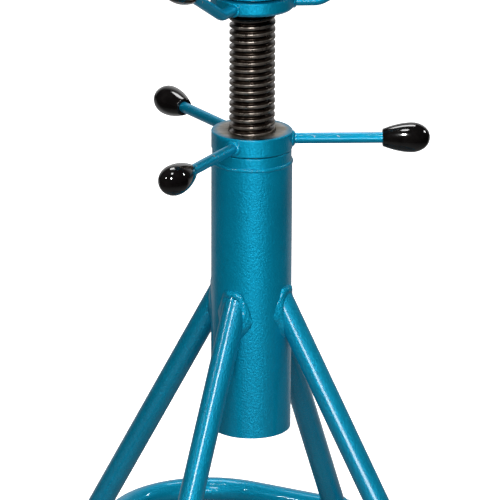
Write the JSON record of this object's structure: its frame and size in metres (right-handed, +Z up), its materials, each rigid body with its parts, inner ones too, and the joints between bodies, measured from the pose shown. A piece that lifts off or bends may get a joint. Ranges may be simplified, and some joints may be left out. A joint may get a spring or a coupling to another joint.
{
  "type": "screw support stand",
  "caption": "Heavy screw-adjustable support stand: tube column on four raked legs and a bent-tube base ring, nut and screw hub turned by knobbed bars, round saddle on top.",
  "frame": {"origin": "column axis at floor level, at the centre of the base ring", "axes": "+Z up along the column and screw; the four legs lie along +X, +Y, -X and -Y"},
  "size_m": [0.4726, 0.4726, 0.778],
  "materials": {
    "teal_paint": "gloss metallic teal paint",
    "black_knob": "polished black phenolic",
    "screw_steel": "oiled rolled thread",
    "plain_steel": "machined",
    "bronze": "oiled bearing bronze"
  },
  "bodies": {
    "frame": {"base_ring": "teal_paint", "leg_right": "teal_paint", "leg_rear": "teal_paint", "leg_left": "teal_paint", "leg_front": "teal_paint", "leg_column_welds": "teal_paint", "leg_ring_welds": "teal_paint", "column_tube": "teal_paint", "column_cap": "teal_paint", "cap_weld": "teal_paint", "thrust_washer": "bronze"},
    "nut": {"adjusting_nut": "teal_paint", "nut_handle_1": "teal_paint", "nut_knob_1": "black_knob", "nut_handle_2": "teal_paint", "nut_knob_2": "black_knob", "nut_handle_3": "teal_paint", "nut_knob_3": "black_knob", "nut_handle_welds": "teal_paint"},
    "head": {"head_neck": "teal_paint", "head_bushing": "bronze", "bearing_upper_race": "plain_steel", "saddle_plate": "teal_paint", "saddle_weld": "teal_paint"},
    "spindle": {"spindle": "screw_steel", "handle_hub": "teal_paint", "hub_pin": "plain_steel", "hub_handle_1": "teal_paint", "hub_knob_1": "black_knob", "hub_handle_2": "teal_paint", "hub_knob_2": "black_knob", "hub_handle_3": "teal_paint", "hub_knob_3": "black_knob", "hub_handle_welds": "teal_paint", "guide_disc": "plain_steel", "guide_washer": "plain_steel", "guide_bolt": "plain_steel", "bearing_lower_race": "plain_steel", "retaining_washer": "plain_steel", "retaining_bolt": "plain_steel"},
    "ball_cage": {"bearing_cage": "bronze", "bearing_balls": "plain_steel"}
  },
  "joints": [
    {"name": "nut_turn", "type": "hinge", "parent": "frame", "child": "nut", "pos_m": [0, 0, 0.528], "axis": [0, 0, 1], "continuous": true},
    {"name": "spindle_lift", "type": "slide", "parent": "nut", "child": "head", "axis": [0, 0, 1], "range_m": [-0.134, 0.12]},
    {"name": "spindle_turn", "type": "hinge", "parent": "head", "child": "spindle", "pos_m": [0, 0, 0.6825], "axis": [0, 0, 1], "range_deg": [-6030, 5400]},
    {"name": "cage_turn", "type": "hinge", "parent": "head", "child": "ball_cage", "pos_m": [0, 0, 0.6975], "axis": [0, 0, 1], "range_deg": [-3015, 2700]}
  ],
  "couplings": [
    {"joint": "spindle_lift", "follows": "spindle_turn", "m_per_rad": 0.0012732},
    {"joint": "cage_turn", "follows": "spindle_turn", "ratio": 0.5}
  ]
}
